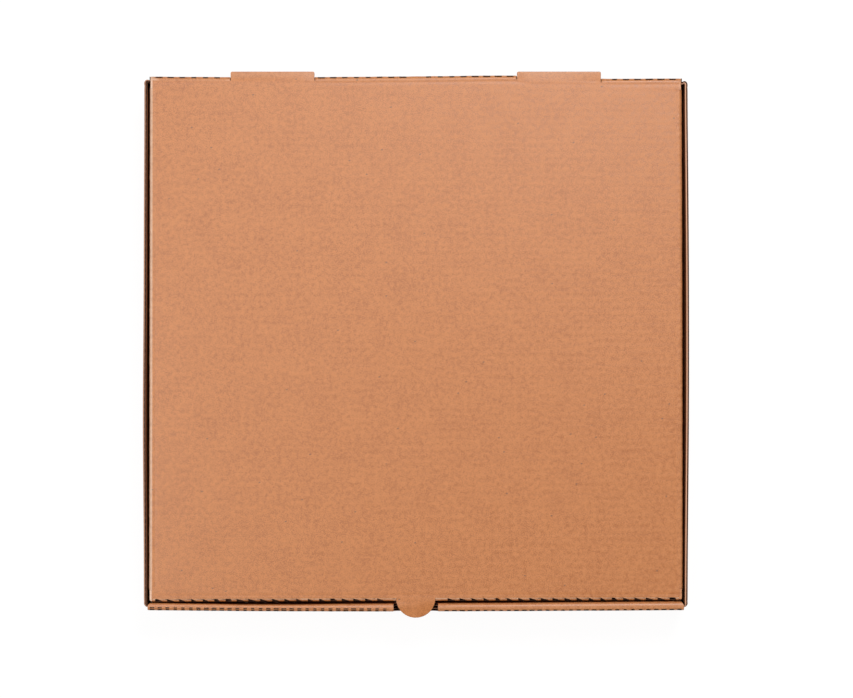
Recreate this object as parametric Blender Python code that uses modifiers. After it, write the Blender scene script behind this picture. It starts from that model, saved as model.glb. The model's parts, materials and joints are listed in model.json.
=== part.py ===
"""A pizza box of corrugated board, closed: the folded tray and the lid that hinges on its rear wall.

One die-cut blank makes the whole box. Each half of it is drawn flat, as the die cuts it, and then folded:
a flat sheet through the middle of the board is bent along its creases, mirrored, and given the board's thickness.
The box stands on z = 0 with its front towards -Y, and the lid turns about the rear crease.
"""

import math

import bmesh
import bpy
from mathutils import Vector

# Outside of the closed box, in metres
BOX_WIDTH = 0.2800
BOX_DEPTH = 0.2745
BOX_HEIGHT = 0.0400

# Corrugated board, and how it bends
BOARD = 0.0015
LINER = 0.00025
MEDIUM = 0.00018
FLUTE_PITCH = 0.0035
CREST_SHARE = 0.2
CELL_DEPTH = 0.003
INNER_FOLD = 0.00025
INNER_CORNER = 0.00075
CRUSHED_SHARE = 0.6
BEND_STEPS = 3

# Clearances inside the folded box
PLY_GAP = 0.00015
HEM_GAP = 0.0003
SLOT_GAP = 0.0002
HINGE_GAP = 0.0003
KERF = 0.0003
SWING_GAP = 0.00025
LID_SIDE_GAP = 0.0012
LID_FRONT_GAP = 0.0015
WALL_DROP = 0.0005

# Corner flaps, which carry on from the ends of the side walls
FLAP_LENGTH = 0.040
FLAP_TAPER = 0.003
FLAP_ROUND = 0.006

# Locking lugs of the hem, and the thumb notch in the front wall
LUG_WIDTH = 0.030
LUG_OFFSET = 0.075
NOTCH_WIDTH = 0.0229
NOTCH_DEPTH = 0.0090
NOTCH_ROUND = 0.0040

# Tabs in the lid's plane
REAR_TAB_WIDTH = 0.0433
REAR_TAB_OFFSET = 0.0739
REAR_TAB_REACH = 0.0033
REAR_TAB_ROUND = 0.0008
THUMB_RADIUS = 0.0109
THUMB_REACH = 0.0087

# Tuck flaps of the lid
SIDE_TUCK_SHARE = 0.75
SIDE_TUCK_INSET = 0.0060
TUCK_TAPER = 0.0120
TUCK_ROUND = 0.0080
EAR_INSET = 0.0004
EAR_ROUND = 0.0008

# Perforated creases
LID_PERFORATION = 0.0060
HEM_PERFORATION = 0.0040
CUT_SHARE = 0.5

# Meshing
ARC_STEPS = 6
MERGE = 0.00001
OVERRUN = 0.0010
QUARTER = math.pi / 2

# Kraft board
KRAFT_COLOUR = (0.62, 0.29, 0.15, 1.0)
KRAFT_ROUGHNESS = 0.85

# Sizes that follow
FOLD_RADIUS = INNER_FOLD + BOARD / 2
FOLD_ARC = FOLD_RADIUS * QUARTER
CORNER_RADIUS = INNER_CORNER + BOARD / 2
CORNER_ARC = CORNER_RADIUS * QUARTER
SETBACK = FOLD_RADIUS + BOARD / 2
FLAP_BOARD = BOARD * CRUSHED_SHARE
FRONT_WALL = 2 * BOARD + FLAP_BOARD + 2 * PLY_GAP
WALL_TOP = BOX_HEIGHT - WALL_DROP

LID_WIDTH = BOX_WIDTH - 2 * (BOARD + LID_SIDE_GAP)
LID_DEPTH = BOX_DEPTH - FRONT_WALL - LID_FRONT_GAP
THUMB_OVERHANG = max(0.0, THUMB_REACH - LID_FRONT_GAP - FRONT_WALL)
REAR_FACE = (BOX_DEPTH + THUMB_OVERHANG - REAR_TAB_REACH) / 2
MIDDLE = REAR_FACE - BOX_DEPTH / 2
TAB_SWING = math.hypot(REAR_TAB_REACH, BOARD) + HINGE_GAP
FLAP_TOP = BOX_HEIGHT - TAB_SWING
FLAP_BASE = SETBACK + HEM_GAP


def rounded(corners):
    """Points of an outline given as (x, y, radius) corners, each corner with a radius an arc."""
    points = []
    for index, (x, y, radius) in enumerate(corners):
        corner = Vector((x, y))
        if not radius:
            points.append(corner)
            continue
        before = Vector(corners[index - 1][:2]) - corner
        after = Vector(corners[(index + 1) % len(corners)][:2]) - corner
        before.normalize()
        after.normalize()
        half = before.angle(after) / 2
        centre = corner + (before + after).normalized() * radius / math.sin(half)
        reach = radius / math.tan(half)
        start = corner + before * reach - centre
        turn = start.angle_signed(corner + after * reach - centre)
        for step in range(ARC_STEPS + 1):
            angle = -turn * step / ARC_STEPS
            across = start.x * math.cos(angle) - start.y * math.sin(angle)
            along = start.x * math.sin(angle) + start.y * math.cos(angle)
            points.append(centre + Vector((across, along)))
    return points


def arc(centre, radius, start, end):
    """Points along an arc from one angle to another."""
    places = [start + (end - start) * step / (2 * ARC_STEPS) for step in range(2 * ARC_STEPS + 1)]
    return [centre + radius * Vector((math.cos(place), math.sin(place))) for place in places]


def flat_sheet(points):
    """A flat sheet, as a bmesh with one face, inside a closed outline."""
    curve = bpy.data.curves.new("blank", "CURVE")
    curve.dimensions = "2D"
    curve.fill_mode = "NONE"
    spline = curve.splines.new("POLY")
    spline.points.add(len(points) - 1)
    for place, point in zip(spline.points, points):
        place.co = (point.x, point.y, 0.0, 1.0)
    spline.use_cyclic_u = True
    drawing = bpy.data.objects.new("blank", curve)
    bpy.context.scene.collection.objects.link(drawing)
    mesh = bpy.data.meshes.new_from_object(drawing.evaluated_get(bpy.context.evaluated_depsgraph_get()))
    bpy.data.objects.remove(drawing)
    sheet = bmesh.new()
    sheet.from_mesh(mesh)
    bpy.data.meshes.remove(mesh)
    bmesh.ops.remove_doubles(sheet, verts=sheet.verts, dist=MERGE)
    bmesh.ops.contextual_create(sheet, geom=sheet.edges[:])
    return sheet


def score(sheet, axis, places, belongs):
    """Split the flat sheet along lines across one axis, where it is to bend."""
    for place in places:
        faces = [face for face in sheet.faces if belongs(face.calc_center_median())]
        edges = list(dict.fromkeys(edge for face in faces for edge in face.edges))
        verts = list(dict.fromkeys(vert for face in faces for vert in face.verts))
        point = Vector()
        normal = Vector()
        point[axis] = place
        normal[axis] = 1.0
        bmesh.ops.bisect_plane(sheet, geom=faces + edges + verts, dist=MERGE, plane_co=point, plane_no=normal)


def punch(sheet, low, high):
    """Punch a rectangular hole between two corners out of the flat sheet."""
    def within(point):
        return low[0] < point.x < high[0] and low[1] < point.y < high[1]

    score(sheet, 0, (low[0], high[0]), lambda point: True)
    score(sheet, 1, (low[1], high[1]), lambda point: low[0] < point.x < high[0])
    faces = [face for face in sheet.faces if within(face.calc_center_median())]
    bmesh.ops.delete(sheet, geom=faces, context="FACES")


def perforate(sheet, fold_start, towards, spans, pitch):
    """Cut slits along a fold that runs across the box, in the middle strip of its bend."""
    first, low, high, last = sorted(fold_start + towards * FOLD_ARC * step / BEND_STEPS for step in range(4))
    slits = []
    for start, end in spans:
        count = int((end - start) / pitch)
        middles = [start + pitch * (index + 1 / 2) for index in range(count)]
        slits += [(middle - pitch * CUT_SHARE / 2, middle + pitch * CUT_SHARE / 2) for middle in middles]
    for slit in slits:
        score(sheet, 0, slit, lambda point: low < point.y < high)

    def in_slit(point):
        return low < point.y < high and any(start < point.x < end for start, end in slits)

    faces = [face for face in sheet.faces if in_slit(face.calc_center_median())]
    bmesh.ops.delete(sheet, geom=faces, context="FACES")
    # The strips beside the slits have many corners in a line, so they are split from their middles
    strips = [face for face in sheet.faces if first < face.calc_center_median().y < last]
    bmesh.ops.poke(sheet, faces=[face for face in strips if len(face.verts) > 4])


def walk(route, length):
    """Place reached on a route of (straight, bend, radius) legs, which starts at zero along the first axis."""
    place = Vector((0.0, 0.0))
    heading = 0.0
    for straight, bend, radius in route:
        step = min(length, straight) if bend else length
        place += step * Vector((math.cos(heading), math.sin(heading)))
        length -= step
        turn = min(length / radius, bend)
        chord = 2 * radius * math.sin(turn / 2)
        place += chord * Vector((math.cos(heading + turn / 2), math.sin(heading + turn / 2)))
        heading += turn
        length -= turn * radius
    return place


def bend_lines(route):
    """Lengths along a route at which the sheet is split for its bends."""
    lines = []
    length = 0.0
    for straight, bend, radius in route:
        length += straight
        if bend:
            lines += [length + bend * radius * step / BEND_STEPS for step in range(BEND_STEPS + 1)]
        length += bend * radius
    return lines


def board(name, sheet, place, thickness_share, origin, collection):
    """Fold a flat half sheet with the place function and make it a mirrored board of the right thickness."""
    flat = [vert.co.copy() for vert in sheet.verts]
    for vert in sheet.verts:
        vert.co = place(vert.co.x, vert.co.y) - origin
    bmesh.ops.recalc_face_normals(sheet, faces=sheet.faces)
    mesh = bpy.data.meshes.new(name)
    sheet.to_mesh(mesh)
    sheet.free()
    piece = bpy.data.objects.new(name, mesh)
    piece.location = origin
    collection.objects.link(piece)
    group = piece.vertex_groups.new(name="thickness")
    for index, point in enumerate(flat):
        group.add([index], thickness_share(point.x, point.y), "REPLACE")
    mirror = piece.modifiers.new("other half", "MIRROR")
    mirror.merge_threshold = MERGE
    solidify = piece.modifiers.new("board", "SOLIDIFY")
    solidify.thickness = BOARD
    solidify.offset = 0.0
    solidify.use_even_offset = True
    solidify.vertex_group = group.name
    return piece


def tray_routes():
    """Routes of the board's middle from the middle of the bottom, and the corner routes in plan."""
    half_width = BOX_WIDTH / 2 - SETBACK
    half_depth = BOX_DEPTH / 2 - SETBACK
    hem_drop = WALL_TOP - SETBACK - BOARD - HEM_GAP
    front_flap = BOARD + PLY_GAP + FLAP_BOARD / 2
    rear_flap = BOARD + PLY_GAP + BOARD / 2
    flap_run = FLAP_LENGTH - BOARD / 2 - CORNER_RADIUS
    return {
        "front": [
            (half_depth, QUARTER, FOLD_RADIUS),
            (WALL_TOP - 2 * SETBACK, QUARTER, FOLD_RADIUS),
            (FRONT_WALL - 2 * SETBACK, QUARTER, FOLD_RADIUS),
            (hem_drop, 0.0, FOLD_RADIUS),
        ],
        "rear": [
            (half_depth, QUARTER, FOLD_RADIUS),
            (BOX_HEIGHT - 2 * SETBACK - HINGE_GAP, 0.0, FOLD_RADIUS),
        ],
        "side": [
            (half_width, QUARTER, FOLD_RADIUS),
            (WALL_TOP - SETBACK, 0.0, FOLD_RADIUS),
        ],
        "front corner": [
            (BOX_DEPTH / 2 - front_flap - CORNER_RADIUS, QUARTER, CORNER_RADIUS),
            (flap_run, 0.0, CORNER_RADIUS),
        ],
        "rear corner": [
            (BOX_DEPTH / 2 - rear_flap - CORNER_RADIUS, QUARTER, CORNER_RADIUS),
            (flap_run, 0.0, CORNER_RADIUS),
        ],
    }


def route_length(route):
    """Whole length of a route."""
    return sum(straight + bend * radius for straight, bend, radius in route)


def corner_flap(route, towards):
    """Outline of a corner flap from the bottom's edge up to the wall's top, towards the front (-1) or rear (1)."""
    bottom_edge = BOX_WIDTH / 2 - SETBACK
    start = route[0][0]
    bent = start + CORNER_ARC
    end = route_length(route)
    base = bottom_edge + FOLD_ARC + FLAP_BASE - SETBACK
    top = bottom_edge + FOLD_ARC + FLAP_TOP - SETBACK
    wall_top = bottom_edge + FOLD_ARC + WALL_TOP - SETBACK
    return [
        (bottom_edge, towards * start, 0.0),
        (base, towards * start, 0.0),
        (base, towards * bent, 0.0),
        (base + FLAP_TAPER, towards * end, FLAP_ROUND),
        (top - FLAP_TAPER, towards * end, FLAP_ROUND),
        (top, towards * (bent + FLAP_TAPER), 0.0),
        (wall_top, towards * (start + CORNER_ARC / 2), 0.0),
    ]


def tray_outline(routes):
    """Edge of the right half of the tray's blank."""
    front = routes["front"]
    bottom_edge = BOX_WIDTH / 2 - SETBACK
    wall_half = bottom_edge - KERF
    hem_half = BOX_WIDTH / 2 - BOARD - CORNER_RADIUS - SLOT_GAP
    rear_half = LID_WIDTH / 2
    bottom_half = front[0][0]
    wall_top = bottom_half + FOLD_ARC + front[1][0]
    strip = wall_top + FOLD_ARC
    hem_edge = route_length(front)
    lug_edge = hem_edge + BOARD
    lug_inner = LUG_OFFSET - LUG_WIDTH / 2
    lug_outer = LUG_OFFSET + LUG_WIDTH / 2
    notch_fall = NOTCH_DEPTH - SETBACK
    notch_far = strip + front[2][0] + FOLD_ARC + notch_fall
    rear_edge = route_length(routes["rear"])
    window = rear_edge - (TAB_SWING - SETBACK - HINGE_GAP)
    window_inner = REAR_TAB_OFFSET - REAR_TAB_WIDTH / 2 - KERF
    window_outer = REAR_TAB_OFFSET + REAR_TAB_WIDTH / 2 + KERF
    corners = [
        (0.0, -notch_far, 0.0),
        (0.0, -hem_edge, 0.0),
        (lug_inner, -hem_edge, 0.0),
        (lug_inner, -lug_edge, 0.0),
        (lug_outer, -lug_edge, 0.0),
        (lug_outer, -hem_edge, 0.0),
        (hem_half, -hem_edge, 0.0),
        (hem_half, -strip, 0.0),
        (wall_half, -wall_top, 0.0),
        (wall_half, -bottom_half, 0.0),
    ]
    corners += corner_flap(routes["front corner"], -1)
    corners += reversed(corner_flap(routes["rear corner"], 1))
    corners += [
        (rear_half, bottom_half, 0.0),
        (rear_half, rear_edge, 0.0),
        (window_outer, rear_edge, 0.0),
        (window_outer, window, 0.0),
        (window_inner, window, 0.0),
        (window_inner, rear_edge, 0.0),
        (0.0, rear_edge, 0.0),
        (0.0, notch_fall - wall_top, 0.0),
        (NOTCH_WIDTH / 2, notch_fall - wall_top, NOTCH_ROUND),
        (NOTCH_WIDTH / 2, -notch_far, NOTCH_ROUND),
    ]
    return rounded(corners)


def make_tray(collection):
    """Bottom, rear wall, side walls with their corner flaps, and the roll-over front wall."""
    routes = tray_routes()
    bottom_edge = routes["side"][0][0]
    sheet = flat_sheet(tray_outline(routes))

    def on_side(point):
        return point.x > bottom_edge

    def on_end(point):
        return point.x < bottom_edge

    score(sheet, 0, bend_lines(routes["side"]), lambda point: True)
    score(sheet, 1, [-line for line in bend_lines(routes["front corner"])], on_side)
    score(sheet, 1, bend_lines(routes["rear corner"]), on_side)
    score(sheet, 1, [-line for line in bend_lines(routes["front"])], on_end)
    score(sheet, 1, bend_lines(routes["rear"]), on_end)
    slot_middle = FRONT_WALL - BOARD / 2 - BOX_DEPTH / 2
    slot_reach = LUG_WIDTH / 2 + SLOT_GAP
    slot_half = BOARD / 2 + SLOT_GAP
    slot_low = (LUG_OFFSET - slot_reach, slot_middle - slot_half)
    slot_high = (LUG_OFFSET + slot_reach, slot_middle + slot_half)
    punch(sheet, slot_low, slot_high)
    wall_top = routes["front"][0][0] + FOLD_ARC + routes["front"][1][0]
    hem_span = (NOTCH_WIDTH / 2 + KERF, bottom_edge - HEM_PERFORATION)
    perforate(sheet, -wall_top, -1, [hem_span], HEM_PERFORATION)

    def place(x, y):
        towards = math.copysign(1.0, y)
        if x > bottom_edge:
            across, height = walk(routes["side"], x)
            along, inward = walk(routes["front corner" if y < 0 else "rear corner"], abs(y))
            across -= inward
        else:
            across = x
            along, height = walk(routes["front" if y < 0 else "rear"], abs(y))
        return Vector((across, MIDDLE + towards * along, BOARD / 2 + height))

    def thickness_share(x, y):
        past_corner = -y - routes["front corner"][0][0]
        if x <= bottom_edge or past_corner <= 0:
            return 1.0
        return 1.0 - (1.0 - CRUSHED_SHARE) * min(1.0, past_corner / CORNER_ARC)

    return board("tray", sheet, place, thickness_share, Vector(), collection)


def lid_outline(panel_rear, panel_front, panel_side):
    """Edge of the right half of the lid's blank, measured from the middle and forwards from the rear face."""
    fold_end = panel_rear - FOLD_ARC
    tab_inner = REAR_TAB_OFFSET - REAR_TAB_WIDTH / 2
    tab_outer = REAR_TAB_OFFSET + REAR_TAB_WIDTH / 2
    ear_side = LID_WIDTH / 2 - EAR_INSET
    ear_front = LID_DEPTH - EAR_INSET
    tuck_rear = SIDE_TUCK_INSET
    tuck_front = LID_DEPTH - SIDE_TUCK_INSET
    side_end = panel_side + FOLD_ARC + BOX_HEIGHT * SIDE_TUCK_SHARE - SETBACK
    front_half = panel_side - KERF
    front_end = panel_front + FOLD_ARC + front_tuck_depth() - SETBACK
    thumb = Vector((0.0, LID_DEPTH + THUMB_REACH - THUMB_RADIUS))
    thumb_start = panel_front - thumb.y
    edge = rounded([
        (0.0, fold_end, 0.0),
        (tab_inner - KERF, fold_end, 0.0),
        (tab_inner - KERF, panel_rear, 0.0),
        (tab_inner, panel_rear, 0.0),
        (tab_inner, -REAR_TAB_REACH, REAR_TAB_ROUND),
        (tab_outer, -REAR_TAB_REACH, REAR_TAB_ROUND),
        (tab_outer, panel_rear, 0.0),
        (tab_outer + KERF, panel_rear, 0.0),
        (tab_outer + KERF, fold_end, 0.0),
        (ear_side, fold_end, 0.0),
        (ear_side, tuck_rear - KERF, 0.0),
        (panel_side, tuck_rear - KERF, 0.0),
        (panel_side, tuck_rear, 0.0),
        (side_end, tuck_rear + TUCK_TAPER, TUCK_ROUND),
        (side_end, tuck_front - TUCK_TAPER, TUCK_ROUND),
        (panel_side, tuck_front, 0.0),
        (panel_side, tuck_front + KERF, 0.0),
        (ear_side, tuck_front + KERF, 0.0),
        (ear_side, ear_front, EAR_ROUND),
        (front_half + KERF, ear_front, 0.0),
        (front_half + KERF, panel_front, 0.0),
        (front_half, panel_front, 0.0),
        (front_half, panel_front + FOLD_ARC, 0.0),
        (front_half - TUCK_TAPER, front_end, TUCK_ROUND),
        (0.0, front_end, 0.0),
    ])
    outer = THUMB_RADIUS + KERF
    edge += arc(thumb, outer, QUARTER, math.asin(thumb_start / outer))
    edge += arc(thumb, THUMB_RADIUS, math.asin(thumb_start / THUMB_RADIUS), QUARTER)
    return edge


def front_tuck_depth():
    """The deepest front tuck flap that still swings past the front wall."""
    reach = LID_DEPTH + LID_FRONT_GAP - SWING_GAP
    return min(math.sqrt(reach ** 2 - LID_DEPTH ** 2), BOX_HEIGHT * SIDE_TUCK_SHARE)


def make_lid(collection):
    """Lid panel with its rear fold, tuck flaps, thumb tab and rear tabs."""
    panel_rear = SETBACK
    panel_front = LID_DEPTH - SETBACK
    panel_side = LID_WIDTH / 2 - SETBACK
    rear = [(0.0, QUARTER, FOLD_RADIUS)]
    front = [(0.0, QUARTER, FOLD_RADIUS), (BOX_HEIGHT, 0.0, FOLD_RADIUS)]
    tab_inner = REAR_TAB_OFFSET - REAR_TAB_WIDTH / 2 - KERF / 2
    tab_outer = REAR_TAB_OFFSET + REAR_TAB_WIDTH / 2 + KERF / 2
    thumb = Vector((0.0, LID_DEPTH + THUMB_REACH - THUMB_RADIUS))
    sheet = flat_sheet(lid_outline(panel_rear, panel_front, panel_side))

    score(sheet, 0, [panel_side + line for line in bend_lines(front)], lambda point: True)
    score(sheet, 1, [panel_rear - line for line in bend_lines(rear)], lambda point: True)
    score(sheet, 1, [panel_front + line for line in bend_lines(front)], lambda point: True)

    rear_spans = [(0.0, tab_inner - KERF), (tab_outer + KERF, panel_side)]
    perforate(sheet, panel_rear, -1, rear_spans, LID_PERFORATION)
    perforate(sheet, panel_front, 1, [(THUMB_RADIUS + 2 * KERF, panel_side - KERF)], LID_PERFORATION)

    def on_thumb(x, y):
        return (Vector((x, y)) - thumb).length < THUMB_RADIUS + KERF / 2

    def place(x, y):
        across = x
        along = y
        drop = 0.0
        if x > panel_side and SIDE_TUCK_INSET - KERF / 2 < y < LID_DEPTH - SIDE_TUCK_INSET + KERF / 2:
            out, drop = walk(front, x - panel_side)
            across = panel_side + out
        elif y < panel_rear and not tab_inner < x < tab_outer:
            out, drop = walk(rear, panel_rear - y)
            along = panel_rear - out
        elif y > panel_front and x < panel_side - KERF / 2 and not on_thumb(x, y):
            out, drop = walk(front, y - panel_front)
            along = panel_front + out
        return Vector((across, REAR_FACE - along, BOX_HEIGHT - BOARD / 2 - drop))

    hinge = Vector((0.0, REAR_FACE, BOX_HEIGHT))
    return board("lid", sheet, place, lambda x, y: 1.0, hinge, collection)


def flute_cells(name, spans, middle, low, high, collection):
    """Cutter for the open flutes of a raw edge that runs front to back, and of its mirror image.

    The medium is a wave between the liners, so its cells face one liner and the other in turn.
    """
    curve = bpy.data.curves.new(name, "CURVE")
    curve.dimensions = "2D"
    curve.fill_mode = "BOTH"
    curve.extrude = (high - low) / 2
    far = BOARD / 2 - LINER
    near = far - MEDIUM
    crest = FLUTE_PITCH * CREST_SHARE / 2
    foot = FLUTE_PITCH / 2 - crest - 2 * MEDIUM
    start, end = spans
    count = int(2 * (end - start) / FLUTE_PITCH) - 1
    first = (start + end) / 2 - FLUTE_PITCH * (count - 1) / 4
    for index in range(count):
        centre = first + FLUTE_PITCH * index / 2
        side = 1 if index % 2 else -1
        spline = curve.splines.new("POLY")
        spline.points.add(3)
        corners = [(far, foot), (-near, crest), (-near, -crest), (far, -foot)]
        for point, (out, along) in zip(spline.points, corners):
            point.co = (middle + side * out, centre + along, 0.0, 1.0)
        spline.use_cyclic_u = True
    drawing = bpy.data.objects.new(name, curve)
    drawing.location.z = (high + low) / 2
    bpy.context.scene.collection.objects.link(drawing)
    filled = drawing.evaluated_get(bpy.context.evaluated_depsgraph_get())
    mesh = bpy.data.meshes.new_from_object(filled)
    cutter = bpy.data.objects.new(name, mesh)
    cutter.location = drawing.location
    bpy.data.objects.remove(drawing)
    welded = bmesh.new()
    welded.from_mesh(mesh)
    bmesh.ops.remove_doubles(welded, verts=welded.verts, dist=MERGE)
    bmesh.ops.recalc_face_normals(welded, faces=welded.faces)
    welded.to_mesh(mesh)
    welded.free()
    cutter.hide_render = True
    cutter.display_type = "WIRE"
    collection.objects.link(cutter)
    mirror = cutter.modifiers.new("other half", "MIRROR")
    mirror.merge_threshold = MERGE
    return cutter


def cut(piece, cutter):
    """Take a cutter out of a piece."""
    modifier = piece.modifiers.new(cutter.name, "BOOLEAN")
    modifier.operation = "DIFFERENCE"
    modifier.solver = "EXACT"
    modifier.object = cutter


def open_flutes(tray, lid, cutters):
    """Show the flutes in the raw edges along the tops of the side walls and the feet of the side tuck flaps."""
    routes = tray_routes()
    wall_span = (MIDDLE - routes["front corner"][0][0], MIDDLE + routes["rear corner"][0][0])
    wall_middle = BOX_WIDTH / 2 - BOARD / 2
    wall_low = WALL_TOP - CELL_DEPTH
    cut(tray, flute_cells("wall_flutes", wall_span, wall_middle, wall_low, WALL_TOP + OVERRUN, cutters))
    taper = SIDE_TUCK_INSET + TUCK_TAPER + TUCK_ROUND
    tuck_span = (REAR_FACE - LID_DEPTH + taper, REAR_FACE - taper)
    tuck_middle = LID_WIDTH / 2 - BOARD / 2
    tuck_foot = BOX_HEIGHT * (1 - SIDE_TUCK_SHARE)
    tuck_high = tuck_foot + CELL_DEPTH
    cut(lid, flute_cells("tuck_flutes", tuck_span, tuck_middle, tuck_foot - OVERRUN, tuck_high, cutters))


def kraft():
    """Brown kraft board."""
    material = bpy.data.materials.new("kraft_board")
    material.use_nodes = True
    shader = material.node_tree.nodes["Principled BSDF"]
    shader.inputs["Base Color"].default_value = KRAFT_COLOUR
    shader.inputs["Roughness"].default_value = KRAFT_ROUGHNESS
    shader.inputs["Metallic"].default_value = 0.0
    return material


def main():
    for thing in list(bpy.data.objects):
        bpy.data.objects.remove(thing)
    parts = bpy.data.collections.new("pizza_box")
    cutters = bpy.data.collections.new("pizza_box_cutters")
    bpy.context.scene.collection.children.link(parts)
    bpy.context.scene.collection.children.link(cutters)
    tray = make_tray(parts)
    lid = make_lid(parts)
    open_flutes(tray, lid, cutters)
    material = kraft()
    for piece in (tray, lid):
        piece.data.materials.append(material)


main()
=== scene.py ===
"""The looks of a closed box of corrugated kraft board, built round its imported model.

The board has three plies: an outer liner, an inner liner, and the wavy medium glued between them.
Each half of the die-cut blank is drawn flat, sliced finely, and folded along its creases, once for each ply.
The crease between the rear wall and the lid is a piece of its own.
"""

import json
import math

import bmesh
import bpy
import numpy as np
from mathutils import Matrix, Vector


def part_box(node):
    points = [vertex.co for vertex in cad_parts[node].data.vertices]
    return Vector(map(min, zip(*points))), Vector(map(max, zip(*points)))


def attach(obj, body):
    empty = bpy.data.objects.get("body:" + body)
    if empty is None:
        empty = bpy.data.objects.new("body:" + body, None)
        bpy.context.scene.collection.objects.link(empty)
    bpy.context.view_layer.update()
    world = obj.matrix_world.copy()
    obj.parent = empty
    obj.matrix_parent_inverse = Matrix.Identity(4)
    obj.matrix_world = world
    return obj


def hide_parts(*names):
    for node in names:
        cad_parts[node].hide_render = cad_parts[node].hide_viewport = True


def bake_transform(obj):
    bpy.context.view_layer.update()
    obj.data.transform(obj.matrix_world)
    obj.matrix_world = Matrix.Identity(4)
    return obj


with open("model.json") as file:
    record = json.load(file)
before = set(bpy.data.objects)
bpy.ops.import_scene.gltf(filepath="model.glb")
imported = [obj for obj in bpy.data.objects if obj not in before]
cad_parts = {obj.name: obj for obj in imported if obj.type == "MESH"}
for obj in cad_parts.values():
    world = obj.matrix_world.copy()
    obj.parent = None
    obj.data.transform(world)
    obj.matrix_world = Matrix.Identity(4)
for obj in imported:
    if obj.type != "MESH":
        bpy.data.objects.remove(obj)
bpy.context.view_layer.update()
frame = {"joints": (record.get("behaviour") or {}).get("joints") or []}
HINGE = Vector(frame["joints"][0]["pos_m"])
TRAY_LOW, TRAY_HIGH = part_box("tray")
LID_LOW, LID_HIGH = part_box("lid")
CAD_DIGITS = 4

# Outside of the closed box, from the frame, in metres
BOX_WIDTH = round(TRAY_HIGH.x - TRAY_LOW.x, CAD_DIGITS)
BOX_DEPTH = round(TRAY_HIGH.y - TRAY_LOW.y, CAD_DIGITS)
BOX_HEIGHT = HINGE.z
REAR_FACE = HINGE.y
MIDDLE = REAR_FACE - BOX_DEPTH / 2
LID_WIDTH = round(LID_HIGH.x - LID_LOW.x, CAD_DIGITS)
THUMB_TIP = round(REAR_FACE - LID_LOW.y, CAD_DIGITS)
REAR_TAB_REACH = round(LID_HIGH.y - REAR_FACE, CAD_DIGITS)

# Corrugated board
BOARD = 0.0015
LINER = 0.00025
MEDIUM = 0.00018
FLUTE_PITCH = 0.0035
FLUTE_STEPS = 6
LINER_SAG = 0.000012
EDGE_WIDTH = 0.00035
EDGE_PINCH = 0.00012
LIP_THICKNESS = 0.00035
CRUSHED_SHARE = 0.33
PLY_GAP = 0.00015
TRAPPED_BOARD = 0.0009

# Folds
INNER_FOLD = 0.00025
INNER_CORNER = 0.00075
BEND_STEPS = 8
CRUSHED_FLUTE_SHARE = 0.45
SHOULDER_REACH = 0.0013
SHOULDER_WIDTH = 0.00055
SHOULDER_DEPTH = 0.00009
CREASE_FADE = 0.0007

# Walls and flaps of the tray
WALL_DROP = 0.0005
HEM_GAP = 0.0003
SLOT_GAP = 0.0002
KERF = 0.0003
KNIFE_CUT = 0.00008
HINGE_GAP = 0.0003
FLAP_LENGTH = 0.040
FLAP_TAPER = 0.003
FLAP_ROUND = 0.006
CORNER_FOOT_SHARE = 0.4
LUG_WIDTH = 0.030
LUG_OFFSET = 0.075
NOTCH_WIDTH = 0.0229
NOTCH_DEPTH = 0.0090
NOTCH_ROUND = 0.0040

# Tabs and tuck flaps of the lid
LID_FRONT_GAP = 0.0015
SWING_GAP = 0.00025
REAR_TAB_WIDTH = 0.0433
REAR_TAB_OFFSET = 0.0739
REAR_TAB_ROUND = 0.0008
THUMB_RADIUS = 0.0101
SIDE_TUCK_SHARE = 0.75
SIDE_TUCK_INSET = 0.0060
TUCK_TAPER = 0.0120
TUCK_ROUND = 0.0080
EAR_INSET = 0.0004
EAR_ROUND = 0.0008

# Perforations: their pitch along the crease, the share of it that is cut, and where they lie in the bend
LID_PERFORATION = 0.0060
HEM_PERFORATION = 0.0040
CUT_SHARE = 0.52
CUT_UNEVEN = 0.22
SLIT_RHYTHM = 7
SLIT_PHASES = (0.3, 2.1)
FRONT_CUT_STEPS = (1, 8)
HEM_CUT_STEPS = (1, 5)
HEM_INNER_CUT_STEPS = (6, 8)
REAR_CUT_STEPS = (0, 5)
FRONT_CUT_DROP = 0.0009
FRONT_CUT_RAMP = 0.0007

# How hand folding leaves the box slightly out of true; a pair is for the left and the right
BOW_RISE_SHARE = 0.3
FRONT_BOW = 0.00068
FRONT_BOW_LEAN_SHARE = 0.35
FRONT_LEAN = 0.0002
HEM_SKEW = 0.00045
HEM_SLIDE = 0.00005
HEM_DENT = 0.0006
HEM_DENT_SPREAD = 0.030
SIDE_BOWS = (0.00063, 0.00093)
SIDE_BOW_PEAK_SHARES = (-0.30, 0.0)
SIDE_BOW_SPREAD_SHARES = (0.90, 1.3)
LID_SKEW = 0.00045
LID_SLIDE = 0.00066
LID_FLARE = 0.00045
LID_BOW = 0.0002
THUMB_SLIDE_SHARE = 0.94
THUMB_DROOP = 0.0006

# Slight waves across the panels and along the creases, each wave given as its length and phase
PANEL_WARP = 0.00012
WARP_ACROSS_WAVES = ((0.19, 1.0), (0.083, 2.2))
WARP_ALONG_WAVES = ((0.23, 0.5), (0.11, 4.0))
CREASE_WANDER = 0.00007
WANDER_WAVES = ((0.0031, 0.4), (0.0087, 1.9), (0.0233, 3.1))

# How far the hinge crease stands off the rear wall, by places given as shares of half the width
REAR_BULGE = 0.0014
REAR_BULGE_FADE = 0.020
BULGE_PLACE_SHARES = (-1.0, -0.68, -0.37, 0.0, 0.30, 0.37, 0.42, 0.73, 1.0)
BULGE_SHARES = (0.60, 0.40, 0.42, 0.68, 1.0, 0.95, 0.0, -0.22, -0.10)
CORNER_BULGES = (0.00036, 0.00062)
CORNER_BULGE_SPAN = 0.0012
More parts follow.
